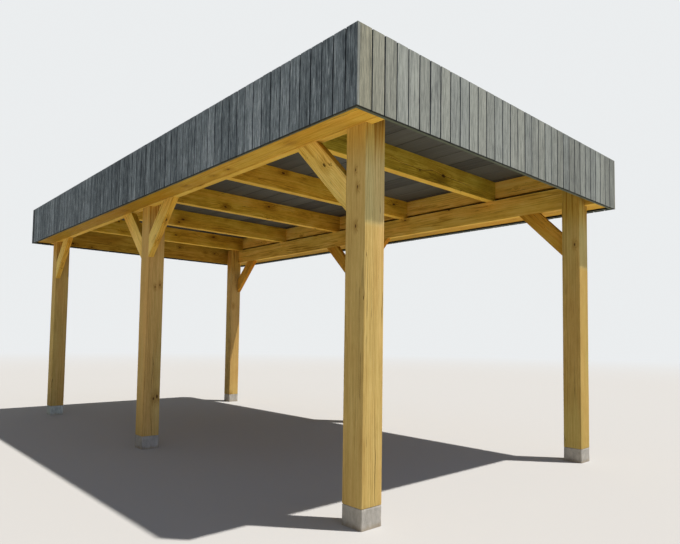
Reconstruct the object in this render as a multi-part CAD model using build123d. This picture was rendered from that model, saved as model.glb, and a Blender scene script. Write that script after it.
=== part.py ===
from build123d import *
import math
import os

# Flat-roofed timber carport, six posts, open on all four sides.
# Millimetres. X runs across the front, Y runs back from the front, Z is up.
# The origin is the centre of the plan, on the ground.

# Posts and plinths
post_width = 180.0            # square section
post_arris = 4.0              # eased edges of the posts
post_pitch_across = 3020.0    # centre to centre, left to right
bay_length = 3250.0           # centre to centre, front to back
bay_count = 2
plinth_height = 134.0
plinth_arris = 6.0

# Long beams, seated in the half-lapped post heads
beam_underside = 2570.0       # height above the ground
beam_thick = 60.0
beam_depth = 228.0
timber_arris = 3.0            # eased lower edges of beams and joists

# Knee braces, each in the plane of a long beam
brace_run = 548.0             # along the beam, to the lower edge
brace_drop = 548.0            # down the post, to the lower edge
brace_depth = 165.0           # square across the brace
tenon_thick = 22.0
tenon_length = 40.0
mortise_clearance = 1.0

# Roof joists across the beams
joist_count = 5
joist_pitch = 1345.0
joist_set_back = 100.0         # from the centre of the back posts to the last joist
joist_width = 90.0
joist_depth = 232.0

# Boards that close the roof box
rim_thick = 45.0
rim_slot = 25.0               # left open between a beam and the rim board above it
soffit_thick = 20.0
soffit_recess = 6.0           # up from the underside of the beams
end_board_thick = 28.0
end_board_count = 4
end_board_groove = 5.0        # depth of the V between two end boards

# Roof deck and its covering
deck_thick = 20.0
deck_board_count = 13
deck_groove = 7.0             # depth of the V between two deck boards
covering_thick = 4.0

# Fascia: upright boards on a backing, all round the roof
side_overhang = 255.0         # post face to fascia face, at the long sides
end_overhang = 178.0          # post face to fascia face, at front and back
fascia_drop = 18.0            # below the underside of the beams
fascia_upstand = 6.0          # above the roof covering
fascia_board_thick = 20.0
fascia_backing_thick = 22.0
fascia_gap = 8.0              # between two boards
fascia_board_pitch = 110.0    # aimed at, before whole boards are counted

# Plan sizes that follow
half_posts_x = post_pitch_across / 2
half_posts_y = bay_length * bay_count / 2
frame_half_x = half_posts_x + post_width / 2
frame_half_y = half_posts_y + post_width / 2
roof_half_x = frame_half_x + side_overhang
roof_half_y = frame_half_y + end_overhang
fascia_thick = fascia_board_thick + fascia_backing_thick
inner_half_x = roof_half_x - fascia_thick
inner_half_y = roof_half_y - fascia_thick

# Heights that follow
beam_top = beam_underside + beam_depth
joist_top = beam_top + joist_depth
deck_top = joist_top + deck_thick
covering_top = deck_top + covering_thick
fascia_bottom = beam_underside - fascia_drop
fascia_top = covering_top + fascia_upstand

SIDES = {"left": -1, "right": 1}


def span_box(x, y, z):
    """A block given by its low and high limits along each axis."""
    size = [high - low for low, high in (x, y, z)]
    centre = [(low + high) / 2 for low, high in (x, y, z)]
    return Pos(*centre) * Box(*size)


def ordered(a, b):
    """Two limits with the lower one first."""
    return (min(a, b), max(a, b))


def ease_lower_edges(solid, direction):
    """Chamfers the two lower edges that run along the piece."""
    edges = solid.edges().filter_by(direction).group_by(Axis.Z)[0]
    return chamfer(edges, timber_arris)


# Post rows
# Each row has its place along Y and the directions in which braces leave it.
row_names = ["front", "middle", "back"]
row_places = [-half_posts_y + bay_length * index for index in range(bay_count + 1)]
row_braces = [(1,), (-1, 1), (-1,)]
brace_names = {-1: "front", 1: "back"}


def brace_outline(reach, swell):
    """The brace seen from the side, from a corner at the origin.

    It spans from the post face, at zero along, to the beam underside, at zero up.
    reach runs it on into both timbers, and swell widens it for a mortise.
    """
    length = math.hypot(brace_run, brace_drop)
    height = brace_run * brace_drop / length
    lower = 1 + swell / height
    upper = 1 - (brace_depth + swell) / height
    along = reach / brace_run
    down = reach / brace_drop
    return [
        (brace_run * (upper + down), reach),
        (brace_run * (lower + down), reach),
        (-reach, -brace_drop * (lower + along)),
        (-reach, -brace_drop * (upper + along)),
    ]


def brace_slab(outline, thick, side, direction, post_y):
    """Stands an outline up between a post and its beam, centred in the beam's thickness."""
    plane_x = side * (frame_half_x - beam_thick / 2)
    corner_y = post_y + direction * post_width / 2
    points = [(plane_x, corner_y + direction * along, beam_underside + up) for along, up in outline]
    face = make_face(Polyline(*points, close=True))
    return extrude(face, amount=thick / 2, dir=(1, 0, 0), both=True)


def knee_brace(side, direction, post_y):
    """A brace with a stub tenon at each end."""
    body = brace_slab(brace_outline(0, 0), beam_thick, side, direction, post_y)
    tenon = brace_slab(brace_outline(tenon_length, 0), tenon_thick, side, direction, post_y)
    return body + tenon


def brace_mortises(side, direction, post_y):
    """The pocket that one brace's tenons need in the post and in the beam."""
    outline = brace_outline(tenon_length + mortise_clearance, mortise_clearance)
    return brace_slab(outline, tenon_thick + 2 * mortise_clearance, side, direction, post_y)


def post(side, post_y, directions):
    """A post from plinth to beam top, half-lapped on its outer side for the beam."""
    centre_x = side * half_posts_x
    height = beam_top - plinth_height
    blank = Pos(centre_x, post_y, plinth_height + height / 2) * Box(post_width, post_width, height)
    blank = chamfer(blank.edges().filter_by(Axis.Z), post_arris)
    outer = side * frame_half_x
    lap_x = ordered(outer - side * beam_thick, outer + side * post_arris)
    lap_y = (post_y - post_width, post_y + post_width)
    blank -= span_box(lap_x, lap_y, (beam_underside, beam_top + post_arris))
    for direction in directions:
        blank -= brace_mortises(side, direction, post_y)
    return blank


def plinth(side, post_y):
    """The block that lifts a post off the ground."""
    centre = Pos(side * half_posts_x, post_y, plinth_height / 2)
    block = centre * Box(post_width, post_width, plinth_height)
    upright = block.edges().filter_by(Axis.Z)
    top = block.faces().sort_by(Axis.Z)[-1].edges()
    return chamfer(upright + top, plinth_arris)


def long_beam(side):
    """The beam along one side, flush with the outer faces of its posts."""
    outer = side * frame_half_x
    half_length = inner_half_y - end_board_thick
    beam = span_box(
        ordered(outer - side * beam_thick, outer),
        (-half_length, half_length),
        (beam_underside, beam_top),
    )
    beam = ease_lower_edges(beam, Axis.Y)
    for post_y, directions in zip(row_places, row_braces):
        for direction in directions:
            beam -= brace_mortises(side, direction, post_y)
    return beam


def rim_board(side):
    """The board that closes the joist ends, above and just outside the beam."""
    outer = side * frame_half_x
    return span_box(
        ordered(outer, outer + side * rim_thick),
        (-inner_half_y, inner_half_y),
        (beam_top + rim_slot, joist_top),
    )


def soffit(side):
    """The board under the eaves, from the beam to the fascia."""
    outer = side * frame_half_x
    underside = beam_underside + soffit_recess
    return span_box(
        ordered(outer, side * inner_half_x),
        (-inner_half_y, inner_half_y),
        (underside, underside + soffit_thick),
    )


def joist(place_y):
    """A joist that rests on both beams and ends at the rim boards."""
    solid = span_box(
        (-frame_half_x, frame_half_x),
        (place_y - joist_width / 2, place_y + joist_width / 2),
        (beam_top, joist_top),
    )
    return ease_lower_edges(solid, Axis.X)


def end_boards(end):
    """Level boards across one end, with a V on the inner face at each joint."""
    height = (joist_top - beam_underside) / end_board_count
    outer_y = end * inner_half_y
    inner_y = outer_y - end * end_board_thick
    points = [(outer_y, beam_underside), (inner_y, beam_underside)]
    for index in range(1, end_board_count):
        joint = beam_underside + height * index
        points.append((inner_y, joint - end_board_groove))
        points.append((inner_y + end * end_board_groove, joint))
        points.append((inner_y, joint + end_board_groove))
    points += [(inner_y, joist_top), (outer_y, joist_top)]
    face = make_face(Polyline(*[(0, y, z) for y, z in points], close=True))
    return extrude(face, amount=frame_half_x, dir=(1, 0, 0), both=True)


def roof_deck():
    """Boards laid front to back over the joists, with a V below at each joint."""
    width = 2 * inner_half_x / deck_board_count
    points = [(-inner_half_x, deck_top), (-inner_half_x, joist_top)]
    for index in range(1, deck_board_count):
        joint = -inner_half_x + width * index
        points.append((joint - deck_groove, joist_top))
        points.append((joint, joist_top + deck_groove))
        points.append((joint + deck_groove, joist_top))
    points += [(inner_half_x, joist_top), (inner_half_x, deck_top)]
    face = make_face(Polyline(*[(x, 0, z) for x, z in points], close=True))
    return extrude(face, amount=inner_half_y, dir=(0, 1, 0), both=True)


def roof_covering():
    """The waterproof sheet on the deck."""
    return span_box(
        (-inner_half_x, inner_half_x),
        (-inner_half_y, inner_half_y),
        (deck_top, covering_top),
    )


def fascia_panel(board_length, backing_length):
    """Upright boards on their backing, seen from above, with the boards towards -Y.

    The backing's inner face lies on Y = 0, and the panel is centred on X = 0.
    """
    count = max(1, round(board_length / fascia_board_pitch))
    pitch = (board_length + fascia_gap) / count
    backing = Pos(0, -fascia_backing_thick / 2) * Rectangle(backing_length, fascia_backing_thick)
    board = Rectangle(pitch - fascia_gap, fascia_board_thick)
    board_y = -fascia_backing_thick - fascia_board_thick / 2
    boards = Pos(0, board_y) * GridLocations(pitch, 1, count, 1) * board
    outline = backing + boards
    return Pos(0, 0, fascia_bottom) * extrude(outline, amount=fascia_top - fascia_bottom)


def end_fascia(end):
    """The fascia across one end, between the boards of the long sides."""
    length = 2 * (roof_half_x - fascia_board_thick)
    turn = 0 if end < 0 else 180
    return Pos(0, end * inner_half_y, 0) * Rot(0, 0, turn) * fascia_panel(length, length)


def side_fascia(side):
    """The fascia along one side, whose boards run past the ends of the others."""
    turn = -90 if side < 0 else 90
    panel = fascia_panel(2 * roof_half_y, 2 * inner_half_y)
    return Pos(side * inner_half_x, 0, 0) * Rot(0, 0, turn) * panel


def carport():
    """Every piece by name."""
    pieces = {}
    for side_name, side in SIDES.items():
        for row, post_y, directions in zip(row_names, row_places, row_braces):
            pieces[f"{row}_{side_name}_plinth"] = plinth(side, post_y)
            pieces[f"{row}_{side_name}_post"] = post(side, post_y, directions)
            for direction in directions:
                toward = f"_{brace_names[direction]}" if len(directions) > 1 else ""
                pieces[f"{row}_{side_name}{toward}_brace"] = knee_brace(side, direction, post_y)
        pieces[f"{side_name}_beam"] = long_beam(side)
        pieces[f"{side_name}_rim_board"] = rim_board(side)
        pieces[f"{side_name}_soffit"] = soffit(side)
        pieces[f"{side_name}_fascia"] = side_fascia(side)
    for index in range(joist_count):
        place_y = half_posts_y - joist_set_back - joist_pitch * (joist_count - 1 - index)
        pieces[f"joist_{index + 1}"] = joist(place_y)
    for end_name, end in (("front", -1), ("back", 1)):
        pieces[f"{end_name}_end_boards"] = end_boards(end)
        pieces[f"{end_name}_fascia"] = end_fascia(end)
    pieces["roof_deck"] = roof_deck()
    pieces["roof_covering"] = roof_covering()
    return pieces


os.makedirs("parts", exist_ok=True)
for name, solid in carport().items():
    export_step(solid, f"parts/{name}.step")
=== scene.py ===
import math
import random

import bmesh
import bpy
from mathutils import Euler, Matrix, Vector, noise


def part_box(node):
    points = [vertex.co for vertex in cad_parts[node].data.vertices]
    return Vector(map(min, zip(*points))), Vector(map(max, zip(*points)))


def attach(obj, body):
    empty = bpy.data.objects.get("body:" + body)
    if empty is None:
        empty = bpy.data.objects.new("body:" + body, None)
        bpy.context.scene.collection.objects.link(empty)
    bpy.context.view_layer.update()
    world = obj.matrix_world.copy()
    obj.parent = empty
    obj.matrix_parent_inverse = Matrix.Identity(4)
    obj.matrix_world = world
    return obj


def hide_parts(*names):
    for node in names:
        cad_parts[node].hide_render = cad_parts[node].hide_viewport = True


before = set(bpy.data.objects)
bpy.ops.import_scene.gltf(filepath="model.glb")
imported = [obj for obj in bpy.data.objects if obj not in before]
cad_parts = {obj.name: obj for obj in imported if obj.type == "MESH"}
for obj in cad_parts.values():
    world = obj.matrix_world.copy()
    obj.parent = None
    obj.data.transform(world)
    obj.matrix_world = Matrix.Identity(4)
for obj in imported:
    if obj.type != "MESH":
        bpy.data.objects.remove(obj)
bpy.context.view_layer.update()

# Looks of an open timber carport with a flat roof, in metres.
# X runs across the front, Y runs back from the front and Z is up.
SIDES = {"left": -1, "right": 1}
X, Y, Z = 0, 1, 2
BODY = "root"

# Camera: where the photograph was taken from, and its focal length on a 36 mm sensor
CAMERA_PLACE = Vector((-4.0783, -5.8301, 1.1850))
CAMERA_YAW = 0.7403509
CAMERA_PITCH = 0.0554257
CAMERA_ROLL = 0.0139334
CAMERA_SHIFT = 0.0520052
FOCAL_LENGTH_MM = 29.6852
SENSOR_WIDTH_MM = 36.0

# Light
KEY_DIRECTION = Vector((0.24, -0.286, 1.0))  # from the carport towards the lamp
KEY_STRENGTH = 4.9
KEY_SPREAD = math.radians(1.0)
KEY_COLOUR = (1.0, 0.98, 0.95)
SOFT_COLOUR = (0.174, 0.177, 0.177, 1)  # from all round
FRONT_SOFT_COLOUR = (0.36, 0.46, 0.70, 1)  # brighter and cooler, from the front
FRONT_SOFT_REACH = (-0.15, -0.9)  # where it starts and is full, as the Y of a direction
BACKDROP_COLOUR = (0.83, 0.85, 0.86, 1)
FLOOR_COLOUR = (0.478, 0.463, 0.44, 1)
FLOOR_RADIUS = 160.0
FLOOR_FADE = (11.0, 38.0)  # the distances where it turns into the backdrop
FLOOR_DROP = 0.0005

# Knots that have a place of their own: x, y, z and radius
KNOTS = {
    "front_left_post": [(-1.600, -3.255, 1.909, 0.0065), (-1.600, -3.249, 2.276, 0.005),
                        (-1.600, -3.269, 2.161, 0.006)],
    "front_left_brace": [(-1.595, -2.935, 2.378, 0.012)],
    "middle_left_post": [(-1.453, -0.090, 0.542, 0.012), (-1.492, -0.090, 0.523, 0.009),
                         (-1.513, -0.090, 1.706, 0.006), (-1.458, -0.090, 1.732, 0.007)],
    "middle_left_front_brace": [(-1.570, -0.229, 2.183, 0.010), (-1.570, -0.439, 2.369, 0.009)],
    "front_right_post": [(1.420, -3.290, 2.160, 0.008)],
    "joist_1": [(0.613, -2.275, 2.900, 0.018), (0.229, -2.275, 2.880, 0.007)],
    "joist_2": [(-0.470, -0.930, 2.985, 0.012), (1.330, -0.930, 2.950, 0.015)],
    "joist_3": [(0.291, 0.415, 2.965, 0.012), (-0.382, 0.415, 2.848, 0.012)],
    "joist_4": [(-0.292, 1.760, 2.900, 0.016), (-0.352, 1.760, 2.850, 0.011)],
    "joist_5": [(0.980, 3.105, 2.975, 0.016), (0.258, 3.105, 2.915, 0.012)],
    "right_beam": [(1.540, -1.658, 2.790, 0.009), (1.540, -0.942, 2.767, 0.010)],
}

# Open drying checks in the front faces of two posts: height, x and width, from the foot up
FRONT_CHECKS = {
    "front_left_post": [(0.145, -1.485, 0.0022), (0.303, -1.484, 0.0058), (0.440, -1.482, 0.0062),
                        (0.520, -1.487, 0.0040), (0.660, -1.490, 0.0024), (0.860, -1.501, 0.0014),
                        (1.083, -1.508, 0.0005)],
    "middle_left_post": [(0.134, -1.497, 0.0032), (0.341, -1.511, 0.0034), (0.635, -1.521, 0.0028),
                         (0.919, -1.502, 0.0024), (1.285, -1.507, 0.0008)],
}

# The long check in the front of the first joist: x, height and width
JOIST_CHECK = [(-0.266, 2.917, 0.0050), (0.001, 2.893, 0.0090), (0.250, 2.891, 0.0076),
               (0.450, 2.922, 0.0084), (0.618, 2.905, 0.0104), (0.814, 2.898, 0.0092),
               (1.021, 2.891, 0.0070), (1.186, 2.889, 0.0010)]


# Shader helpers

def make_node(tree, kind, inputs=None, **settings):
    """Adds a shader node. Its inputs are numbers, colours or sockets to link."""
    made = tree.nodes.new("ShaderNode" + kind)
    for name, value in settings.items():
        setattr(made, name, value)
    for name, value in (inputs or {}).items():
        if isinstance(value, bpy.types.NodeSocket):
            tree.links.new(value, made.inputs[name])
        else:
            made.inputs[name].default_value = value
    return made


class Formula:
    """Short names for the nodes of one material, so that a shader reads as a formula."""

    def __init__(self, name, roughness=0.7, specular=0.3):
        self.material = bpy.data.materials.new(name)
        self.material.use_nodes = True
        self.tree = self.material.node_tree
        self.surface = self.tree.nodes["Principled BSDF"]
        self.surface.inputs["Specular IOR Level"].default_value = specular
        self.surface.inputs["Roughness"].default_value = roughness

    def place(self):
        return make_node(self.tree, "TexCoord").outputs["Object"]

    def normal(self):
        return self.split(make_node(self.tree, "NewGeometry").outputs["True Normal"])

    def facing(self, axis):
        """How squarely a face looks along an axis, from 0 to 1."""
        return self.math("ABSOLUTE", self.normal()[axis])

    def attribute(self, name):
        return make_node(self.tree, "Attribute", attribute_name=name).outputs["Fac"]

    def math(self, operation, a, b=0.0, c=0.0):
        made = make_node(self.tree, "Math", {0: a, 1: b, 2: c}, operation=operation)
        return made.outputs[0]

    def times(self, a, b):
        return self.math("MULTIPLY", a, b)

    def blend(self, *terms):
        """The sum of (value, weight) pairs."""
        total = 0.0
        for value, weight in terms:
            total = self.math("MULTIPLY_ADD", value, weight, total)
        return total

    def vector(self, operation, a, b=(0, 0, 0)):
        made = make_node(self.tree, "VectorMath", {0: a, 1: b}, operation=operation)
        return made.outputs["Value" if operation == "LENGTH" else "Vector"]

    def turn(self, vector, angles):
        made = make_node(self.tree, "Mapping", {"Vector": vector, "Rotation": angles})
        return made.outputs["Vector"]

    def split(self, vector):
        return make_node(self.tree, "SeparateXYZ", {0: vector}).outputs

    def apart(self, seed):
        """A shift of the texture that depends on a seed held in an attribute."""
        axes = {index: self.times(seed, step) for index, step in enumerate((17.3, 9.1, 5.7))}
        return make_node(self.tree, "CombineXYZ", axes).outputs[0]

    def noise(self, vector, stretch, detail=2.0, roughness=0.5, colour=False):
        """Noise whose cells are 1/stretch metres along each axis."""
        scaled = self.vector("MULTIPLY", vector, stretch)
        made = make_node(self.tree, "TexNoise",
                         {"Vector": scaled, "Scale": 1.0, "Detail": detail, "Roughness": roughness})
        return made.outputs["Color" if colour else "Fac"]

    def steps(self, value, low, high, to_low=0.0, to_high=1.0, smooth=True):
        """Takes value from low..high to to_low..to_high, held beyond its ends."""
        limits = {"From Min": low, "From Max": high, "To Min": to_low, "To Max": to_high}
        made = make_node(self.tree, "MapRange", {"Value": value, **limits},
                         interpolation_type="SMOOTHSTEP" if smooth else "LINEAR")
        return made.outputs["Result"]

    def mix(self, amount, a, b, blend="MIX"):
        """Goes from colour a to colour b, or to a times b where blend is MULTIPLY."""
        a, b = [(*colour, 1) if isinstance(colour, tuple) and len(colour) == 3 else colour
                for colour in (a, b)]
        made = make_node(self.tree, "Mix", {0: amount, 6: a, 7: b}, data_type="RGBA", blend_type=blend)
        return made.outputs[2]

    def ramp(self, value, places, colours):
        """Goes from colour to colour as value passes the places."""
        made = make_node(self.tree, "ValToRGB", {"Fac": value})
        elements = made.color_ramp.elements
        while len(elements) < len(colours):
            elements.new(0.5)
        for element, place, colour in zip(elements, places, colours):
            element.position = place
            element.color = (*colour, 1)
        return made.outputs["Color"]

    def bump(self, height, distance, strength=1.0):
        made = make_node(self.tree, "Bump", {"Height": height, "Distance": distance, "Strength": strength})
        self.tree.links.new(made.outputs["Normal"], self.surface.inputs["Normal"])

    def finish(self, colour, roughness=None):
        self.tree.links.new(colour, self.surface.inputs["Base Color"])
        if roughness is not None:
            self.tree.links.new(roughness, self.surface.inputs["Roughness"])
        return self.material


def srgb(red, green, blue):
    """A display colour of 0 to 255 as the linear colour that a shader takes."""
    def linear(level):
        share = level / 255
        return share / 12.92 if share <= 0.04045 else ((share + 0.055) / 1.055) ** 2.4
    return (linear(red), linear(green), linear(blue))


def tint(colour, amount):
    return tuple(level * amount for level in colour)


# Timber
# The grain runs along the local Z of each member, and the growth rings close round its heart.

GRAIN_TURN = {
    "Z": (0, 0, 0),
    "Y": (math.pi / 2, 0, 0),
    "X": (0, -math.pi / 2, 0),
    "brace towards +Y": (math.pi / 4, 0, 0),
    "brace towards -Y": (-math.pi / 4, 0, 0),
}
CHECK_SHADE_MARK = "check"  # attribute: 1 at the bottom of an open drying check, where painted shade darkens it

# Tones from the palest wood to the darkest, and then the knots. OLIVE is the first joist.
POST_TONES = (srgb(229, 194, 130), srgb(209, 171, 105), srgb(162, 121, 62), srgb(84, 50, 24))
BEAM_TONES = (srgb(240, 200, 108), srgb(224, 176, 76), srgb(168, 120, 40), srgb(84, 48, 18))
RIM_TONES = (srgb(250, 206, 114), srgb(240, 188, 84), srgb(186, 132, 46), srgb(84, 48, 18))
BRACE_TONES = (srgb(252, 224, 150), srgb(244, 208, 118), srgb(190, 140, 56), srgb(70, 40, 16))
FAR_BRACE_TONES = (srgb(232, 188, 98), srgb(216, 164, 66), srgb(168, 116, 34), srgb(70, 40, 16))
OLIVE_TONES = (srgb(214, 190, 84), srgb(186, 158, 52), srgb(134, 108, 28), srgb(60, 38, 12))
JOIST_TONES = (srgb(234, 192, 92), srgb(218, 168, 54), srgb(158, 110, 26), srgb(70, 40, 10))
SOFFIT_TONES = (srgb(246, 202, 100), srgb(228, 174, 66), srgb(180, 126, 36), srgb(96, 56, 18))
END_BOARD_TONES = (srgb(212, 172, 78), srgb(188, 147, 54), srgb(140, 100, 28), srgb(70, 42, 12))

POST_SHADES = {"front_right_post": (0.87, 0.93, 0.84), "back_left_post": (0.94, 0.96, 0.92)}
# painted light on a brace's slanting faces that look down, painted shade on those that look up
BRACE_EDGE_LIGHT_AND_SHADE = {"below": (0.92, 0.76, 0.46), "above": (0.56, 0.56, 0.32)}
SOFFIT_BACK_SHADE = (0.62, 0.62, 0.30)
SOFFIT_BACK_SHADE_PLACES = (-3.2, 0.5)  # from the front to the back, where the painted shade on the soffits starts and is full
WEEPING_TINT = (0.60, 0.42, 0.20)
HEAD_SHADE_TINT = (1.0, 0.88, 0.48)
HEAD_SHADE_HEIGHTS = (2.24, 2.56)  # the painted warm shade near the roof deepens between these
SKYLIT_SHADE_TINT = (1.0, 1.15, 1.42)
SKYLIT_SHADE_HEIGHTS = (1.89, 1.95)  # above these the fronts of the front row are painted a paler, cooler shade, as in the eaves' shadow
FRONT_ROW_PLACES = (-3.1, -3.3)
UNDERSIDE_LIGHT_TONES = (srgb(255, 216, 92), srgb(234, 174, 54))
OAK_ROUGHNESS = 0.70
KNOT_CELL = 0.15  # across the grain
NO_KNOT = 20.0


def timber(node, grain, heart, tones, seed, knotty=0.3, figure=0.03, mottle=0.42, hairlines=0.5,
           lines=(7, 0.6, 12, 0.2), underside_light=0.0, edge_light_and_shade=None, back_shade=None, roof_shade_and_runs=0.0):
    """Sawn oak: growth lines, fibre, long streaks, knots, hairlines and painted shade in open drying
    checks.

    heart is the point that the growth rings close round. knotty is the chance of a knot in each cell,
    figure how far the lines wander, mottle how strongly the tone changes from place to place and
    hairlines how widely the fine checks spread. lines are the cells per metre of the broad figure,
    across and along the grain, how many lines it has and how dark they are. underside_light makes the
    underside that much paler, as painted light from below, and edge_light_and_shade paints a brace's
    slanting faces paler below and darker above. back_shade is painted shade that darkens the wood
    towards the back, and roof_shade_and_runs is how strongly painted warm shade and stain runs darken it
    near the roof; it also paints a cool shade on the upper fronts of the front row.
    """
    pale, middle, dark, knot = tones
    cells_across, cells_along, line_count, line_depth = lines
    f = Formula(node + "_oak", roughness=OAK_ROUGHNESS, specular=0.08)
    place = f.place()
    spot = f.split(place)
    local = f.turn(f.vector("SUBTRACT", place, heart), GRAIN_TURN[grain])
    shifted = f.vector("ADD", local, (seed * 1.31, seed * 0.77, seed * 3.7))
    ragged = f.noise(shifted, (110, 110, 80))

    # Knots, scattered through the wood and at their own places. share is the distance in knot radii.
    grid = f.vector("MULTIPLY", shifted, (1 / KNOT_CELL, 1 / KNOT_CELL, 0.6 / KNOT_CELL))
    scatter = make_node(f.tree, "TexVoronoi", {"Vector": grid, "Scale": 1.0, "Randomness": 0.9})
    chance = f.split(scatter.outputs["Color"])
    size = f.math("MULTIPLY_ADD", chance[Y], 0.009, 0.006)
    share = f.math("DIVIDE", f.times(scatter.outputs["Distance"], KNOT_CELL), size)
    share = f.math("MULTIPLY_ADD", f.math("GREATER_THAN", chance[X], knotty), NO_KNOT, share)
    turn = Euler(GRAIN_TURN[grain]).to_matrix()
    for x, y, z, radius in KNOTS.get(node, ()):
        centre = turn @ (Vector((x, y, z)) - Vector(heart))
        offset = f.vector("SUBTRACT", local, centre)
        offset = f.vector("MULTIPLY", offset, (1 / radius, 1 / radius, 0.5 / radius))
        share = f.math("MINIMUM", share, f.vector("LENGTH", offset))
    share = f.math("MULTIPLY_ADD", ragged, 0.9, share)
    knot_mask = f.steps(share, 1.55, 1.15)
    from_core = f.math("MULTIPLY_ADD", f.noise(shifted, (240, 240, 60)), 0.8, share)
    knot_core = f.steps(from_core, 1.4, 1.0)
    halo = f.steps(share, 6.0, 1.4)

    # Growth lines, bent a little by slow noise and round the knots
    wander = f.vector("SUBTRACT", f.noise(shifted, (2.6, 2.6, 0.8), 2, colour=True), (0.5, 0.5, 0.5))
    wander = f.vector("MULTIPLY", wander, (figure, figure, figure))
    across = f.vector("MULTIPLY", f.vector("ADD", local, wander), (1, 1, 0))
    distance = f.vector("LENGTH", across)
    distance = f.blend((f.noise(shifted, (20, 20, 1.8), 3), 0.006), (halo, 0.020), (distance, 1.0))
    uneven = f.noise(across, (13, 13, 1))
    ring = f.math("FRACT", f.blend((distance, 112.0), (uneven, 2.6)))
    late = f.times(f.steps(ring, 0.2, 0.9), f.steps(ring, 1.0, 0.93))
    broad = f.steps(f.noise(f.vector("ADD", across, (0, 0, 5)), (27, 27, 1), 2), 0.34, 0.68)
    bent = f.noise(shifted, (cells_across, cells_across, cells_along), 2, 0.4)
    bent = f.math("FRACT", f.blend((bent, line_count), (halo, 0.6)))
    drawn = f.times(f.steps(bent, 0.45, 0.95), f.steps(bent, 1.0, 0.95))
    drawn = f.times(drawn, f.steps(f.noise(shifted, (12, 12, 0.9)), 0.36, 0.62, 0.15, 1.0))

    # Fibre, streaks and slow changes along the grain
    fibre = f.noise(shifted, (330, 330, 13), 3, 0.62)
    streak = f.noise(shifted, (105, 105, 2.0), 4, 0.62)
    band = f.noise(shifted, (21, 21, 0.7))
    dark_streak = f.steps(f.noise(shifted, (80, 80, 1.1), 3, 0.6), 0.62, 0.74)
    patch = f.noise(shifted, (6.5, 6.5, 2.8), 4, 0.6)
    fleck = f.steps(f.noise(shifted, (150, 150, 26)), 0.60, 0.72)
    tone = f.blend((late, 0.15), (broad, 0.07), (f.steps(streak, 0.3, 0.72, smooth=False), 0.24),
                   (band, 0.16), (fibre, 0.50), (dark_streak, 0.20), (halo, 0.24), (patch, mottle),
                   (fleck, -0.08), (drawn, line_depth))
    tone = f.math("SUBTRACT", tone, 0.12 + line_depth / 6 + mottle / 2)
    colour = f.ramp(tone, (0.13, 0.40, 0.80), (pale, middle, dark))
    warm = f.steps(f.noise(shifted, (3.2, 3.2, 0.6), 3, 0.55), 0.36, 0.66)
    colour = f.mix(1.0, colour, f.mix(warm, (0.93, 1.0, 0.88), (1.0, 0.94, 0.80)), "MULTIPLY")

    # Painted light and shade, and stain runs near the roof
    # painted light and shade on the slanting faces of a brace: paler facing down, darker facing up
    if edge_light_and_shade:
        on_edge = f.times(f.steps(f.facing(Z), 0.4, 0.6), f.steps(f.facing(Y), 0.4, 0.6))
        edge = f.mix(f.steps(f.normal()[Z], -0.2, 0.2), edge_light_and_shade["below"], edge_light_and_shade["above"])
        colour = f.mix(on_edge, colour, edge, "MULTIPLY")
    # painted shade: the wood darkens towards the back, where less light comes up from the floor
    if back_shade:
        colour = f.mix(f.steps(spot[Y], *SOFFIT_BACK_SHADE_PLACES), colour, back_shade, "MULTIPLY")
    if roof_shade_and_runs:
        # painted shade: above the eaves' shadow line the fronts of the front posts turn paler and cooler
        skylit_shade = f.times(f.steps(spot[Z], *SKYLIT_SHADE_HEIGHTS), f.steps(f.facing(Y), 0.8, 0.95))
        skylit_shade = f.times(skylit_shade, f.steps(spot[Y], *FRONT_ROW_PLACES))
        colour = f.mix(skylit_shade, colour, SKYLIT_SHADE_TINT, "MULTIPLY")
        # painted shade: warmer and darker near the roof, as its shade and warm bounce make it; the runs
        # below are stains
        near_head = f.times(f.steps(spot[Z], *HEAD_SHADE_HEIGHTS), roof_shade_and_runs)
        colour = f.mix(near_head, colour, HEAD_SHADE_TINT, "MULTIPLY")
        runs = f.steps(f.noise(shifted, (75, 75, 1.4), 3, 0.6), 0.46, 0.62)
        colour = f.mix(f.times(near_head, runs), colour, WEEPING_TINT, "MULTIPLY")
    # painted light: faces that look down (and up) turn paler, as the light thrown up from the floor makes
    # them
    if underside_light:
        under = f.times(f.steps(f.facing(Z), 0.5, 0.8), underside_light)
        colour = f.mix(under, colour, f.ramp(tone, (0.0, 1.0), UNDERSIDE_LIGHT_TONES))

    # Hairline checks along the grain
    hair = f.noise(f.vector("ADD", shifted, wander), (30, 30, 0.4 + 8 * figure), 2, 0.5)
    hair = f.math("ABSOLUTE", f.math("SUBTRACT", hair, 0.5))
    hair_zone = f.steps(f.noise(shifted, (6, 6, 1.0), 1), 0.66 - 0.2 * hairlines, 0.74 - 0.2 * hairlines)
    hair_mask = f.times(f.steps(hair, 0.009, 0.003), hair_zone)
    colour = f.mix(f.times(hair_mask, 0.75), colour, tint(dark, 0.25))
    # painted shade deep in the open drying checks, in a brown of the knots
    check_shade = f.steps(f.attribute(CHECK_SHADE_MARK), 0.0, 0.6)
    colour = f.mix(f.times(check_shade, 0.94), colour, tint(knot, 0.6))

    colour = f.mix(f.times(knot_mask, 0.85), colour, knot)
    colour = f.mix(f.times(knot_core, 0.65), colour, tint(knot, 0.3))

    height = f.blend((fibre, 0.8), (late, -0.35), (hair_mask, -1.6), (knot_mask, 0.4))
    f.bump(height, 0.0011, 0.7)
    roughness = f.noise(shifted, (40, 40, 3))
    return f.finish(colour, f.steps(roughness, 0.3, 0.7, OAK_ROUGHNESS - 0.07, OAK_ROUGHNESS + 0.12))


# Weathered cladding

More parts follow.
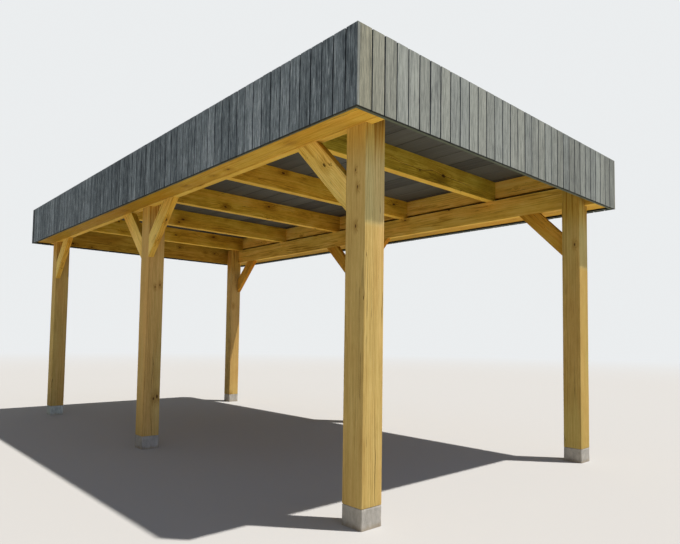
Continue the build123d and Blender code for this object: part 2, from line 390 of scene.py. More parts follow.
# the sides' tones are a painted shade copy of the ends' tones: darker and bluer
CLADDING_SIDE_SHADED = (srgb(182, 190, 191), srgb(117, 127, 130), srgb(48, 54, 58))
CLADDING_END = (srgb(178, 180, 168), srgb(142, 145, 136), srgb(88, 90, 86))
CLADDING_WARM = (1.06, 0.955, 0.75)
CLADDING_STAIN = srgb(34, 38, 52)
CLADDING_END_GRAIN_SHADE = srgb(50, 52, 46)


def cladding(name):
    """Upright boards gone grey; along the sides they are painted darker and bluer, as shade and sky light
    make them.

    Each board has its own tone, seed and warmth, as attributes.
    """
    f = Formula(name, roughness=0.85, specular=0.18)
    local = f.vector("ADD", f.place(), f.apart(f.attribute("board_seed")))
    fine = f.noise(local, (280, 280, 17), 4, 0.7)
    streak = f.noise(local, (120, 120, 5.0), 4, 0.66)
    broad = f.noise(local, (30, 30, 1.0))
    cloud = f.noise(local, (15, 15, 6), 4, 0.64)
    wisp = f.steps(f.noise(local, (95, 95, 11), 3, 0.6), 0.58, 0.72)
    line = f.math("ABSOLUTE", f.math("SUBTRACT", f.noise(local, (62, 62, 1.1), 2, 0.6), 0.5))
    line = f.steps(line, 0.030, 0.004)
    grain = f.blend((f.steps(streak, 0.3, 0.7, smooth=False), 0.55), (fine, 1.25), (broad, 0.25))
    grain = f.blend((f.attribute("board_tone"), 0.18), (grain, 1.0))
    sides = f.math("SUBTRACT", f.blend((grain, 1.1), (cloud, 0.62), (wisp, -0.40), (line, 0.22)), 0.84)
    ends = f.math("SUBTRACT", f.blend((grain, 0.95), (cloud, 0.16), (wisp, -0.12), (line, 0.30)), 0.56)
    sides = f.ramp(sides, (0.02, 0.5, 1.0), CLADDING_SIDE_SHADED)
    ends = f.ramp(ends, (0.05, 0.5, 1.0), CLADDING_END)
    ends = f.mix(f.attribute("board_warm"), ends, CLADDING_WARM, "MULTIPLY")
    side_on = f.times(f.facing(X), f.attribute("faces_side"))
    end_on = f.times(f.facing(Y), f.attribute("faces_end"))
    colour = f.mix(f.steps(end_on, 0.3, 0.7), sides, ends)
    # painted shade on the board edges that face into the gaps between boards
    gap_shade = f.steps(f.math("MAXIMUM", side_on, end_on), 0.35, 0.15)
    colour = f.mix(f.times(gap_shade, 0.8), colour, tint(CLADDING_SIDE_SHADED[2], 0.4))
    stained = f.steps(f.noise(local, (13, 13, 2.2), 3, 0.6), 0.62, 0.74)
    stained = f.times(stained, f.steps(streak, 0.4, 0.6))
    stained = f.times(stained, f.steps(side_on, 0.3, 0.7, 0.16, 0.42))
    colour = f.mix(stained, colour, CLADDING_STAIN)
    # painted shade: the boards' ends, below and above, are painted near black
    colour = f.mix(f.steps(f.facing(Z), 0.3, 0.7), colour, CLADDING_END_GRAIN_SHADE)
    f.bump(f.blend((streak, 0.7), (fine, 0.9)), 0.0016, 0.8)
    return f.finish(colour, f.steps(broad, 0.3, 0.7, 0.76, 0.92))


def backing_timber(name):
    """The treated backing behind the cladding: dark upright faces made near black as painted shade deep in
    the gaps between the boards, olive underneath.
    """
    f = Formula(name, roughness=0.85, specular=0.15)
    grain = f.noise(f.place(), (6, 6, 160), 3, 0.6)
    # painted shade: the upright faces are near black, as deep in the gaps between the boards
    upright = f.ramp(grain, (0.2, 0.8), (srgb(34, 37, 38), srgb(22, 24, 26)))
    mould = f.noise(f.place(), (9, 9, 9), 3, 0.6)
    under = f.ramp(mould, (0.3, 0.7), (srgb(112, 118, 96), srgb(92, 98, 80)))
    f.bump(grain, 0.001, 0.5)
    return f.finish(f.mix(f.steps(f.normal()[Z], -0.3, -0.7), upright, under))


# Roof and plinths

def deck_stain(name):
    """The dark stained underside of the roof boards, each board a little different."""
    f = Formula(name, roughness=0.72, specular=0.25)
    place = f.vector("ADD", f.place(), f.apart(f.attribute("board_seed")))
    grain = f.noise(place, (95, 1.3, 95), 4, 0.62)
    fine = f.noise(place, (320, 5, 320), 3, 0.6)
    cloud = f.noise(place, (3.2, 1.4, 3.2), 3)
    tone = f.blend((cloud, 0.45), (grain, 0.55), (fine, 0.30), (f.attribute("board_tone"), 0.22))
    colour = f.ramp(tone, (0.35, 0.95), (srgb(96, 95, 84), srgb(66, 65, 57)))
    f.bump(f.blend((grain, 0.7), (fine, 0.5)), 0.001, 0.6)
    return f.finish(colour, f.steps(grain, 0.3, 0.7, 0.64, 0.8))


SHEET_COUNT = 3  # two laps, as far from the middle on each side
SHEET_RIM = 0.03
SHEET_RIPPLE = 0.0006
LAP_WIDTH = 0.07  # the roof sheets lap over each other by this much
LAP_STEP = 0.0014
LAP_SLOPES = (0.004, 0.03)  # of its two edges
EDGE_RISE = 0.0014


def roof_rubber(name, lap_from_middle):
    """The black roof sheet, dusty where water dries and dark along the edges of its laps."""
    f = Formula(name, roughness=0.7, specular=0.35)
    place = f.place()
    dust = f.steps(f.noise(place, (1.1, 0.7, 1.1), 6, 0.66), 0.36, 0.72)
    speck = f.noise(place, (160, 160, 160))
    from_lap = f.math("SUBTRACT", f.math("ABSOLUTE", f.split(place)[X]), lap_from_middle)
    from_edge = f.math("ABSOLUTE", f.math("SUBTRACT", f.math("ABSOLUTE", from_lap), LAP_WIDTH / 2))
    tone = f.blend((speck, 0.25), (dust, 0.48), (f.steps(from_edge, 0.010, 0.003), -0.3))
    colour = f.ramp(tone, (0.0, 1.0), (srgb(50, 51, 54), srgb(100, 100, 98)))
    f.bump(speck, 0.0008, 0.4)
    return f.finish(colour, f.steps(dust, 0.0, 1.0, 0.6, 0.86))


# painted light: the back left plinth is paler and cooler, as sky light would make it in the floor's shadow
PLINTH_PAINTED_SKYLIGHT = {"back_left_plinth": (1.20, 1.38, 1.42)}


def plinth_stone(name, seed, shade):
    """Cast grey plinth, with faint marks of the mould and an earthy tide at its foot."""
    f = Formula(name, roughness=0.78, specular=0.25)
    place = f.vector("ADD", f.place(), (seed * 3.1, seed * 1.7, 0))
    height_up = f.split(f.place())[Z]
    cloud = f.noise(place, (17, 17, 12), 4, 0.6)
    marks = f.noise(place, (60, 60, 16), 3, 0.6)
    grit = f.noise(place, (420, 420, 420))
    tone = f.blend((marks, 0.30), (cloud, 0.66), (grit, 0.42))
    colour = f.ramp(tone, (0.5, 0.9), (srgb(198, 190, 175), srgb(148, 142, 130)))
    # shade multiplies the colour; for the back left plinth it is painted sky light
    colour = f.mix(1.0, colour, shade, "MULTIPLY")
    ragged = f.math("MULTIPLY_ADD", f.noise(place, (32, 32, 9), 3), 0.06, height_up)
    tide = f.steps(ragged, 0.070, 0.034)
    colour = f.mix(f.times(tide, 0.40), colour, srgb(146, 120, 78))
    pores = f.steps(f.noise(place, (190, 190, 190)), 0.66, 0.74)
    colour = f.mix(f.times(pores, 0.5), colour, srgb(88, 84, 78))
    f.bump(f.blend((cloud, 0.6), (grit, 0.4), (pores, -1.0)), 0.0015, 0.7)
    return f.finish(colour)


# Mesh helpers

def centre_of(node):
    low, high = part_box(node)
    return (low + high) / 2


SHARP_ANGLE = math.radians(50)


def new_piece(name, bm, material, replaced=()):
    """Turns a bmesh into a piece of the object that rides on the frame."""
    bm.normal_update()
    mesh = bpy.data.meshes.new(name)
    bm.to_mesh(mesh)
    bm.free()
    piece = bpy.data.objects.new(name, mesh)
    bpy.context.scene.collection.objects.link(piece)
    mesh.materials.append(material)
    mesh.shade_smooth()
    mesh.set_sharp_from_angle(angle=SHARP_ANGLE)
    weighted = piece.modifiers.new("flat faces stay flat", "WEIGHTED_NORMAL")
    weighted.keep_sharp = True
    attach(piece, BODY)
    if replaced:
        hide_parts(*replaced)
    return piece


def dressed(node, material, arris):
    """The node's own shape with rounded edges."""
    bm = bmesh.new()
    bm.from_mesh(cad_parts[node].data)
    bmesh.ops.remove_doubles(bm, verts=bm.verts, dist=1e-5)
    bmesh.ops.dissolve_limit(bm, angle_limit=math.radians(1), verts=bm.verts, edges=bm.edges)
    bmesh.ops.recalc_face_normals(bm, faces=bm.faces)
    sharp = [edge for edge in bm.edges if len(edge.link_faces) == 2 and edge.is_convex
             and edge.calc_face_angle() > math.radians(60)]
    bmesh.ops.bevel(bm, geom=sharp, offset=arris, segments=2, profile=0.5, affect="EDGES",
                    clamp_overlap=True)
    return new_piece(node + "_dressed", bm, material, [node])


def join_rings(bm, lower, upper):
    for index in range(len(lower)):
        after = (index + 1) % len(lower)
        bm.faces.new((lower[index], lower[after], upper[after], upper[index]))


# Sawn members
# A member is lofted along its grain from cross-sections. Its four faces are numbered so that face 0
# looks towards minus b and face 1 towards a, where a and b are the axes that follow its own in turn.

def quarter_turned(a, b, times):
    for _ in range(times):
        a, b = -b, a
    return a, b


class Check:
    """An open drying check in one face: a route of (place along, offset across, width)."""

    JITTER = 0.0016
    LEAST_DEPTH = 0.0015
    MOST_DEPTH = 0.012
    DEPTH_PER_WIDTH = 2.6
    DARK_DEPTH = 0.004  # as deep as this, its bottom gets the full painted shade

    def __init__(self, face, route):
        self.face = face
        self.route = route

    def at(self, along):
        """Its offset across the face, half width and depth at a place along the member."""
        route = self.route
        if along <= route[0][0] or along >= route[-1][0]:
            end = route[0] if along <= route[0][0] else route[-1]
            touches = abs(along - end[0]) < 1e-6
            return end[1], end[2] / 2 * touches, self.depth(end[2]) * touches
        for (s0, t0, w0), (s1, t1, w1) in zip(route, route[1:]):
            if s0 <= along <= s1:
                share = (along - s0) / (s1 - s0)
                ease = share * share * (3 - 2 * share)
                jitter = self.JITTER * noise.noise(Vector((along * 21, self.face * 5.3, s0)))
                width = w0 + (w1 - w0) * share
                return t0 + (t1 - t0) * ease + jitter, width / 2, self.depth(width)

    @staticmethod
    def depth(width):
        return min(Check.LEAST_DEPTH + Check.DEPTH_PER_WIDTH * width, Check.MOST_DEPTH)


class Sawn:
    """A squared timber with rounded, slightly uneven arrises and open drying checks."""

    def __init__(self, node, axis, arris, checks=(), uneven=0.0006, waves=2.5, spacing=0.03, lap=None,
                 eased_ends=(0, 0), lift=0.0):
        self.axis, self.arris, self.uneven, self.waves = axis, arris, uneven, waves
        self.checks = [[check for check in checks if check.face == face] for face in range(4)]
        self.spacing, self.lap, self.eased_ends = spacing, lap, eased_ends
        self.low, self.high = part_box(node)
        self.low.z += lift
        self.centre = (self.low + self.high) / 2
        self.a, self.b = (axis + 1) % 3, (axis + 2) % 3
        self.half = [(self.high[i] - self.low[i]) / 2 for i in (self.a, self.b)]
        self.bm = bmesh.new()
        self.mark = self.bm.verts.layers.float.new(CHECK_SHADE_MARK)

    def unevenness(self, along, key):
        """From 0 to 1, changing slowly along the member."""
        own_place = self.centre.x + self.centre.y * 1.3 + self.centre.z * 1.7
        level = noise.noise(Vector((along * self.waves, key * 3.7, own_place)))
        return min(1.0, max(0.0, 0.5 + level))

    def section(self, along, inset):
        """The cross-section as a list of (a, b, mark, is the lap point), once round."""
        insets = [inset + self.uneven * self.unevenness(along, face) for face in range(4)]
        arrises = [self.arris * (0.75 + 0.5 * self.unevenness(along, 10 + face)) for face in range(4)]
        points = []
        for face in range(4):
            width, reach = (self.half if face % 2 == 0 else self.half[::-1])
            own, before, after = insets[face], insets[face - 1], insets[(face + 1) % 4]
            start, end = -width + before + arrises[face - 1], width - after - arrises[face]
            row = [(start, own, 0.0, False), (end, own, 0.0, False)]
            for check in self.checks[face]:
                offset, open_half, depth = check.at(along)
                bottom = min(1.0, depth / Check.DARK_DEPTH)
                row += [(offset - open_half, own, 0.0, False), (offset, own + depth, bottom, False),
                        (offset + open_half, own, 0.0, False)]
            if self.lap is not None and face % 2 == 0:
                row.append((self.lap if face == 0 else -self.lap, own, 0.0, True))
            row.sort(key=lambda point: point[0])
            for across, depth, mark, is_lap in row:
                points.append((*quarter_turned(across, depth - reach, face), mark, is_lap))
            turned = math.sin(math.pi / 4) * arrises[face]
            corner = quarter_turned(end + turned, own + arrises[face] - turned - reach, face)
            points.append((*corner, 0.0, False))
        return points

    def ring(self, along, inset=0.0, only=None):
        """The vertices of one cross-section, or those of its numbered points alone."""
        points = self.section(along, inset)
        made = []
        for index in only if only is not None else range(len(points)):
            a, b, mark, _ = points[index]
            place = Vector(self.centre)
            place[self.axis] = along
            place[self.a] += a
            place[self.b] += b
            vertex = self.bm.verts.new(place)
            vertex[self.mark] = mark
            made.append(vertex)
        return made

    def stations(self, start, end):
        count = max(1, round((end - start) / self.spacing))
        return [start + (end - start) * index / count for index in range(count + 1)]

    def lofted(self, shelf=None):
        """The whole member. Above the shelf only the inner side of the lap goes on."""
        start, end = self.low[self.axis], self.high[self.axis]
        foot, head = self.eased_ends
        last = self.ring(start, foot)
        self.bm.faces.new(last[::-1])
        places = self.stations(start + foot, end - head if shelf is None else shelf)
        for along in places if foot else places[1:]:
            upper = self.ring(along)
            join_rings(self.bm, last, upper)
            last = upper
        if shelf is not None:
            last = self.lapped(last, shelf, end)
        elif head:
            upper = self.ring(end, head)
            join_rings(self.bm, last, upper)
            last = upper
        self.bm.faces.new(last)
        bmesh.ops.remove_doubles(self.bm, verts=self.bm.verts, dist=5e-5)
        return self.bm

    def lapped(self, ring, shelf, end):
        """Cuts the outer part away above the shelf and carries the rest up."""
        points = self.section(shelf, 0.0)
        count = len(points)
        laps = [index for index, point in enumerate(points) if point[3]]
        runs = [[(first + step) % count for step in range((second - first) % count + 1)]
                for first, second in (laps, laps[::-1])]
        outwards = math.copysign(1, self.lap)
        runs.sort(key=lambda run: sum(points[index][0] for index in run) / len(run) * outwards)
        inner, outer = runs
        self.bm.faces.new([ring[index] for index in outer])
        last = [ring[index] for index in inner]
        for along in self.stations(shelf, end)[1:]:
            upper = self.ring(along, only=inner)
            join_rings(self.bm, last, upper)
            last = upper
        return last


FINE_CHECK = 0.0014  # the widest check that is scattered on a beam or a joist


def scattered_checks(rng, length_range, lanes, widest=0.0018):
    """Small drying checks at random places, one in each lane: (face, low offset, high offset)."""
    low, high = length_range
    checks = []
    for face, lane_low, lane_high in lanes:
        length = rng.uniform(0.25, 0.8)
        start = rng.uniform(low, max(low, high - length))
        offset = rng.uniform(lane_low, lane_high)
        width = rng.uniform(0.5, 1.0) * widest
        route = []
        for step in range(6):
            share = step / 5
            route.append((start + length * share, offset, width * math.sin(math.pi * share) ** 0.7))
            offset = min(lane_high, max(lane_low, offset + rng.uniform(-0.004, 0.004)))
        checks.append(Check(face, route))
    return checks


# Frame timbers

RIM_GAP = 0.013  # shadow gap between a beam and the rim board above it
ARRIS = {"post": 0.0042, "timber": 0.0032, "soffit": 0.0018, "brace": 0.0025, "end boards": 0.001,
         "plinth": 0.006}


def add_post(node, side, seed):
    """A post with its half-lapped head, on its plinth."""
    centre = centre_of(node)
    beam_low, beam_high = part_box(("left" if side < 0 else "right") + "_beam")
    lap = side * min(abs(beam_low.x), abs(beam_high.x)) - centre.x
    rng = random.Random(seed)
    inner = (0.02, 0.065) if side < 0 else (-0.065, -0.02)
    outer = (-inner[1], -inner[0])
    lanes = [(0, *inner), (1, -0.06, -0.015), (1, 0.015, 0.06), (2, *outer), (3, -0.05, 0.05)]
    if node in FRONT_CHECKS:
        lanes = lanes[1:]
    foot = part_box(node)[0].z
    checks = scattered_checks(rng, (foot + 0.05, beam_low.z - 0.35), lanes)
    if node in FRONT_CHECKS:
        route = [(height, x - centre.x, width) for height, x, width in FRONT_CHECKS[node]]
        checks.append(Check(0, route))
    heart = (centre.x + 0.17 * side, centre.y + 0.14, 0)
    shade = POST_SHADES.get(node, (1, 1, 1))
    tones = [tuple(level * share for level, share in zip(tone, shade)) for tone in POST_TONES]
    material = timber(node, "Z", heart, tones, seed, knotty=0.0 if node in KNOTS else 0.2, mottle=0.30,
                      lines=(17, 0.25, 11, 0.07), roof_shade_and_runs=0.9)
    member = Sawn(node, Z, ARRIS["post"], checks, lap=lap, eased_ends=(0.002, 0))
    new_piece(node + "_sawn", member.lofted(beam_low.z), material, [node])


def add_plinth(node, seed):
    """The cast block under a post, a little uneven."""
    member = Sawn(node, Z, ARRIS["plinth"], uneven=0.0010, waves=26, spacing=0.009,
                  eased_ends=(0, ARRIS["plinth"] * 0.7))
    stone = plinth_stone(node + "_stone", seed, PLINTH_PAINTED_SKYLIGHT.get(node, (1, 1, 1)))
    new_piece(node + "_cast", member.lofted(), stone, [node])


def add_long_timber(node, side, kind, seed):
    """A beam, rim board or soffit, along one side."""
    centre = centre_of(node)
    low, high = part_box(node)
    tall = (high.z - low.z) / 2
    heart = (centre.x - 0.22 * side, 0, centre.z - 0.05)
    soffit = kind == "soffit"
    tones = {"beam": BEAM_TONES, "rim_board": RIM_TONES, "soffit": SOFFIT_TONES}[kind]
    checks = []
    if not soffit:
        inner_face = 2 if side < 0 else 0
        lanes = [(inner_face, -0.6 * tall, -0.1 * tall), (inner_face, 0.1 * tall, 0.6 * tall)]
        for stretch in range(2):
            rng = random.Random(seed * 10 + stretch)
            reach = (low.y + 0.2, -0.2) if stretch == 0 else (0.2, high.y - 0.2)
            checks += scattered_checks(rng, reach, lanes[stretch:stretch + 1], FINE_CHECK)
    material = timber(node, "Y", heart, tones, seed, figure=0.05, mottle=0.42 if soffit else 0.7,
                      hairlines=0.0 if soffit else 0.6,
                      lines=(7, 0.35, 12, 0.14 if soffit else 0.30),
                      underside_light=0.6 if kind == "beam" else 0.0, back_shade=SOFFIT_BACK_SHADE if soffit else None)
    member = Sawn(node, Y, ARRIS["soffit" if soffit else "timber"], checks, spacing=0.05,
                  lift=RIM_GAP if kind == "rim_board" else 0.0)
    new_piece(node + "_sawn", member.lofted(), material, [node])


def add_joist(node, seed):
    """A joist. The first has an olive cast and a long open check."""
    centre = centre_of(node)
    low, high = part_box(node)
    tall = (high.z - low.z) / 2
    lanes = [(3, -0.6 * tall, 0.0), (1, 0.0, 0.6 * tall)]
    checks = scattered_checks(random.Random(seed), (low.x + 0.3, high.x - 0.3), lanes, FINE_CHECK)
    heart = (0, centre.y + 0.16, centre.z - 0.17)
    first = node == "joist_1"
    if first:
        checks.append(Check(3, [(x, centre.z - z, width) for x, z, width in JOIST_CHECK]))
    tones = OLIVE_TONES if first else JOIST_TONES
    material = timber(node, "X", heart, tones, seed, figure=0.10, mottle=0.95, underside_light=0.9)
    member = Sawn(node, X, ARRIS["timber"], checks, spacing=0.04)
    new_piece(node + "_sawn", member.lofted(), material, [node])


def add_brace(node, seed):
    """A brace, which leans towards the middle of its bay as it rises."""
    centre = centre_of(node)
    to_front = "front_brace" in node or node.startswith("back")
    towards = "brace towards -Y" if to_front else "brace towards +Y"
    heart = (centre.x + 0.06, centre.y, centre.z - 0.16)
    tones = BRACE_TONES if centre.x < 0 else FAR_BRACE_TONES
    material = timber(node, towards, heart, tones, seed, knotty=0.0 if node in KNOTS else 0.10,
                      figure=0.13, mottle=0.55, hairlines=1.2, lines=(9, 1.2, 9, 0.14),
                      edge_light_and_shade=BRACE_EDGE_LIGHT_AND_SHADE, roof_shade_and_runs=0.6)
    dressed(node, material, ARRIS["brace"])


def add_end_boards(node, seed):
    """The level boards behind the fascia at one end."""
    centre = centre_of(node)
    heart = (0, centre.y + 0.3, centre.z - 0.1)
    material = timber(node, "X", heart, END_BOARD_TONES, seed, knotty=0.34, figure=0.06, mottle=0.8)
    dressed(node, material, ARRIS["end boards"])


def add_frame():
    """The plinths and every timber under the roof, each with its own grain."""
    seed = 1
    for side_name, side in SIDES.items():
        for row in ("front", "middle", "back"):
            add_post(f"{row}_{side_name}_post", side, seed)
            add_plinth(f"{row}_{side_name}_plinth", seed)
            seed += 1
        for kind in ("beam", "rim_board", "soffit"):
            add_long_timber(f"{side_name}_{kind}", side, kind, seed)
            seed += 1
    for node in sorted(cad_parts):
        if node.endswith("_brace"):
            add_brace(node, seed)
        elif node.endswith("_end_boards"):
            add_end_boards(node, seed)
        elif node.startswith("joist"):
            add_joist(node, seed)
        else:
            continue
        seed += 1


# Boards of the fascia and of the roof

BOARD_PITCH = 0.110
BOARD_GAP = 0.0090
BOARD_THICK = 0.020
BACKING_THICK = 0.022
BOARD_ARRIS = 0.0016
BOARD_PLAY = {"width": 0.0016, "back": 0.0012, "bottom": 0.0010, "top": 0.0006}
BACKING_RAISE = {X: 0.002, Y: 0.008}  # above the boards' lower ends, along the ends and the sides
BACKING_DROP = 0.0008  # below their tops
FASCIA_TURNS = {"front": 0.0, "back": math.pi, "left": -math.pi / 2, "right": math.pi / 2}
BOARD_MARKS = ("board_tone", "board_seed", "board_warm", "faces_side", "faces_end")


def add_board(bm, width, thick, low, high, place, marks, arris):
    """One board along local Z with rounded edges, face towards local -Y, moved by the matrix place.

    marks are the values of BOARD_MARKS.
    """
    layers = [bm.verts.layers.float[name] for name in BOARD_MARKS]
    half = width / 2
    outline = []
    for side in (-1, 1):
        corner = [(side * (half - arris * (1 - math.sin(angle))), arris * (1 - math.cos(angle)))
                  for angle in (0, math.pi / 4, math.pi / 2)]
        outline += corner[::-1] if side < 0 else corner
    outline += [(half, thick), (-half, thick)]
    end = min(arris, 0.002)
    loops = []
    for z, inset in ((low, end), (low + end, 0), (high - end, 0), (high, end)):
        shrink_x, shrink_y = 1 - inset / half, 1 - 2 * inset / thick
        ring = []
        for x, y in outline:
            across = thick / 2 + (y - thick / 2) * shrink_y
            vertex = bm.verts.new(place @ Vector((x * shrink_x, across, z)))
            for layer, value in zip(layers, marks):
                vertex[layer] = value
            ring.append(vertex)
        loops.append(ring)
    bm.faces.new(loops[0][::-1])
    bm.faces.new(loops[-1])
    for lower, upper in zip(loops, loops[1:]):
        join_rings(bm, lower, upper)


def board_mesh():
    """An empty bmesh with the layers that boards carry."""
    bm = bmesh.new()
    for name in BOARD_MARKS:
        bm.verts.layers.float.new(name)
    return bm


def fascia(node, turn, shaders, seed):
    """The upright boards of one side and the backing that they are nailed to."""
    rng = random.Random(seed)
    low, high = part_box(node)
    along = X if abs(math.sin(turn)) < 0.5 else Y
    length = (high - low)[along]
    across = 1 - along
    reach = max(abs(low[across]), abs(high[across]))
    count = round(length / BOARD_PITCH)
    pitch = (length + BOARD_GAP) / count
    bm = board_mesh()
    spin = Matrix.Rotation(turn, 4, "Z")
    drift = 0.0
    for index in range(count):
        centre = -length / 2 + pitch * index + (pitch - BOARD_GAP) / 2
        width = pitch - BOARD_GAP - rng.uniform(0, BOARD_PLAY["width"])
        back = rng.uniform(0, BOARD_PLAY["back"])
        drift = 0.45 * drift + rng.uniform(-0.6, 0.6)
        place = spin @ Matrix.Translation((centre, -reach + back, 0))
        from_corner = centre + length / 2
        warm = max(rng.uniform(0, 0.25), 1.0 - from_corner / 0.45)
        at_corner = index in (0, count - 1)
        towards_front = -(spin @ Vector((centre, 0, 0))).y / (length / 2)
        tone = drift  # the higher, the darker
        if along == X:
            tone += -0.9 + 1.3 * min(1.0, from_corner / 2.0)
        else:
            tone += 1.5 * at_corner - 0.7 * max(0.0, towards_front) ** 2
        marks = (tone, rng.uniform(0, 10), warm, float(along == Y), float(along == X or at_corner))
        bottom = low.z + rng.uniform(0, BOARD_PLAY["bottom"])
        top = high.z - rng.uniform(0, BOARD_PLAY["top"])
        add_board(bm, width, BOARD_THICK - back, bottom, top, place, marks, BOARD_ARRIS)
    new_piece(node + "_boards", bm, shaders["boards"], [node])

    bm = bmesh.new()
    inner = reach - BOARD_THICK
    half = length / 2 if along == X else length / 2 - BOARD_THICK - BACKING_THICK
    bottom, top = low.z + BACKING_RAISE[along], high.z - BACKING_DROP
    middle = Vector((0, -inner + BACKING_THICK / 2, (bottom + top) / 2))
    size = Vector((half * 2, BACKING_THICK, top - bottom))
    bmesh.ops.create_cube(bm, size=1.0, matrix=spin @ Matrix.LocRotScale(middle, None, size))
    new_piece(node + "_backing", bm, shaders["backing"])


DECK_BOARD_COUNT = 13
DECK_JOINT = 0.009
DECK_ARRIS = 0.005


def deck(node):
    """Roof boards laid front to back, with eased edges underneath."""
    rng = random.Random(31)
    low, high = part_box(node)
    pitch = (high.x - low.x) / DECK_BOARD_COUNT
    bm = board_mesh()
    for index in range(DECK_BOARD_COUNT):
        lift = rng.uniform(0, 0.0015)
        centre = low.x + pitch * (index + 0.5)
        place = Matrix.Translation((centre, 0, low.z + lift)) @ Matrix.Rotation(math.pi / 2, 4, "X")
        marks = (rng.uniform(-1, 1), rng.uniform(0, 10), 0.0, 0.0, 0.0)
        add_board(bm, pitch - DECK_JOINT, high.z - low.z - lift, -high.y, -low.y, place, marks, DECK_ARRIS)
    new_piece(node + "_boards", bm, deck_stain("stained_deck"), [node])


STRIPS_ACROSS = 10  # of the mesh, between two laps
STRIPS_ALONG = 48


def roof_sheet(node):
    """The covering: sheets laid front to back that lap over each other, turned up at the rim."""
    low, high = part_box(node)
    width = (high.x - low.x) / SHEET_COUNT
    lap_starts = [low.x + width * joint - LAP_WIDTH / 2 for joint in range(1, SHEET_COUNT)]
    edges_x = [low.x, low.x + SHEET_RIM]
    for start in lap_starts:
        end = start + LAP_WIDTH
        edges_x += [start, start + LAP_SLOPES[0], end - LAP_SLOPES[1], end]
    edges_x += [high.x - SHEET_RIM, high.x]
    rows_x = []
    for first, second in zip(edges_x, edges_x[1:]):
        parts = STRIPS_ACROSS if second - first > 0.3 else 1
        rows_x += [first + (second - first) * part / parts for part in range(parts)]
    rows_x.append(high.x)
    inner_length = high.y - low.y - 2 * SHEET_RIM
    inner_y = [low.y + SHEET_RIM + inner_length * part / STRIPS_ALONG
               for part in range(STRIPS_ALONG + 1)]
    rows_y = [low.y, *inner_y, high.y]
    base = high.z - max(LAP_STEP, EDGE_RISE) - SHEET_RIPPLE

    def height_at(x, y):
        """Height of the top of the sheet."""
        ripple = SHEET_RIPPLE * (0.5 + 0.5 * noise.noise(Vector((x * 1.7, y * 1.7, 0.4))))
        for start in lap_starts:
            if start < x < start + LAP_WIDTH:
                return base + ripple + LAP_STEP
        at_rim = x in (low.x, high.x) or y in (low.y, high.y)
        return base + (EDGE_RISE if at_rim else ripple)

    bm = bmesh.new()
    grid = [[bm.verts.new((x, y, height_at(x, y))) for y in rows_y] for x in rows_x]
    under = [[bm.verts.new((x, y, low.z)) for y in (low.y, high.y)] for x in (low.x, high.x)]
    for left, right in zip(grid, grid[1:]):
        for index in range(len(rows_y) - 1):
            bm.faces.new((left[index], right[index], right[index + 1], left[index + 1]))
    bm.faces.new((under[0][0], under[0][1], under[1][1], under[1][0]))
    bm.faces.new([row[0] for row in grid][::-1] + [under[0][0], under[1][0]])
    bm.faces.new([row[-1] for row in grid] + [under[1][1], under[0][1]])
    bm.faces.new(grid[0] + [under[0][1], under[0][0]])
    bm.faces.new(grid[-1][::-1] + [under[1][0], under[1][1]])
    new_piece(node + "_sheet", bm, roof_rubber("roof_rubber", width / 2), [node])


add_frame()
fascia_shaders = {"boards": cladding("weathered_boards"), "backing": backing_timber("treated_backing")}
for number, (side_name, turn) in enumerate(FASCIA_TURNS.items()):
    fascia(side_name + "_fascia", turn, fascia_shaders, 11 + number)
deck("roof_deck")
roof_sheet("roof_covering")


# Floor, light and camera

def seen_by_camera(tree):
    """1 for what the camera sees, directly, in gloss or through glass, and 0 for what only lights."""
    rays = make_node(tree, "LightPath").outputs
    seen = rays["Is Camera Ray"]
    for kind in ("Is Glossy Ray", "Is Transmission Ray"):
        seen = make_node(tree, "Math", {0: seen, 1: rays[kind]}, operation="MAXIMUM").outputs[0]
    return seen


def make_floor():
    """A wide pale floor that fades into the backdrop far from the carport."""
    bm = bmesh.new()
    bmesh.ops.create_circle(bm, cap_ends=True, radius=FLOOR_RADIUS, segments=96)
    mesh = bpy.data.meshes.new("floor")
    bm.to_mesh(mesh)
    bm.free()
    floor = bpy.data.objects.new("floor", mesh)
    floor.location.z = -FLOOR_DROP
    bpy.context.scene.collection.objects.link(floor)
    f = Formula("floor", roughness=0.9, specular=0.1)
    f.surface.inputs["Base Color"].default_value = FLOOR_COLOUR
    away = f.steps(f.vector("LENGTH", f.place()), *FLOOR_FADE)
    glow = make_node(f.tree, "Emission", {"Color": BACKDROP_COLOUR})
    share = f.times(away, seen_by_camera(f.tree))
    blended = make_node(f.tree, "MixShader", {0: share, 1: f.surface.outputs[0], 2: glow.outputs[0]})
    f.tree.links.new(blended.outputs[0], f.tree.nodes["Material Output"].inputs["Surface"])
    mesh.materials.append(f.material)


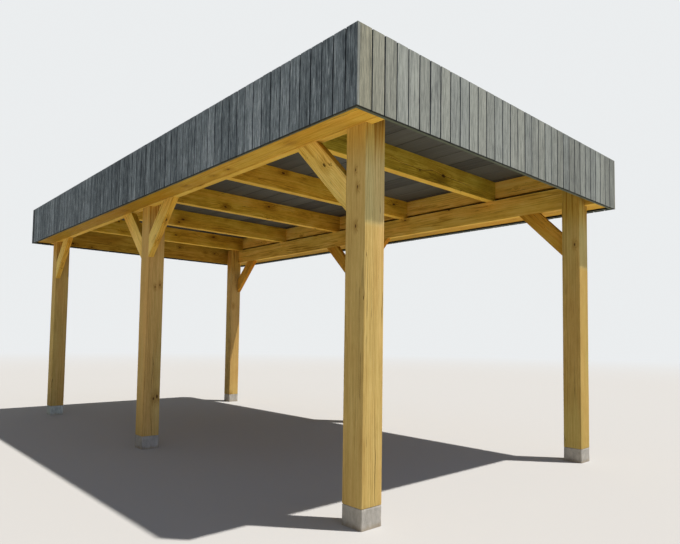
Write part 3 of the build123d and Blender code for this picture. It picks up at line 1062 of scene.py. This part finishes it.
def make_light():
    """A key from the front right, soft light from all round and a pale backdrop."""
    key = bpy.data.objects.new("key", bpy.data.lights.new("key", "SUN"))
    key.data.energy = KEY_STRENGTH
    key.data.angle = KEY_SPREAD
    key.data.color = KEY_COLOUR
    key.rotation_mode = "QUATERNION"
    key.rotation_quaternion = KEY_DIRECTION.to_track_quat("Z", "Y")
    bpy.context.scene.collection.objects.link(key)
    world = bpy.data.worlds.new("studio")
    bpy.context.scene.world = world
    world.use_nodes = True
    tree = world.node_tree
    direction = make_node(tree, "TexCoord").outputs["Generated"]
    towards_back = make_node(tree, "SeparateXYZ", {0: direction}).outputs[Y]
    start, full = FRONT_SOFT_REACH
    in_front = make_node(tree, "MapRange", {"Value": towards_back, "From Min": start, "From Max": full},
                         interpolation_type="SMOOTHSTEP").outputs["Result"]
    colour = make_node(tree, "Mix", {0: in_front, 6: SOFT_COLOUR, 7: FRONT_SOFT_COLOUR}, data_type="RGBA")
    soft = make_node(tree, "Background", {"Color": colour.outputs[2]})
    backdrop = make_node(tree, "Background", {"Color": BACKDROP_COLOUR})
    both = make_node(tree, "MixShader",
                     {0: seen_by_camera(tree), 1: soft.outputs[0], 2: backdrop.outputs[0]})
    tree.links.new(both.outputs[0], tree.nodes["World Output"].inputs["Surface"])


def make_camera():
    """The photograph's view."""
    camera = bpy.data.objects.new("camera", bpy.data.cameras.new("camera"))
    camera.data.sensor_width = SENSOR_WIDTH_MM
    camera.data.lens = FOCAL_LENGTH_MM
    camera.data.shift_y = CAMERA_SHIFT
    camera.data.clip_end = 500
    ahead = Vector((math.sin(CAMERA_YAW) * math.cos(CAMERA_PITCH),
                    math.cos(CAMERA_YAW) * math.cos(CAMERA_PITCH), math.sin(CAMERA_PITCH)))
    level = ahead.cross(Vector((0, 0, 1))).normalized()
    above = level.cross(ahead)
    right = math.cos(CAMERA_ROLL) * level + math.sin(CAMERA_ROLL) * above
    up = -math.sin(CAMERA_ROLL) * level + math.cos(CAMERA_ROLL) * above
    turn = Matrix((right, up, -ahead)).transposed().to_4x4()
    camera.matrix_world = Matrix.Translation(CAMERA_PLACE) @ turn
    bpy.context.scene.collection.objects.link(camera)
    bpy.context.scene.camera = camera


make_floor()
make_light()
make_camera()
bpy.context.scene.view_settings.view_transform = "Standard"
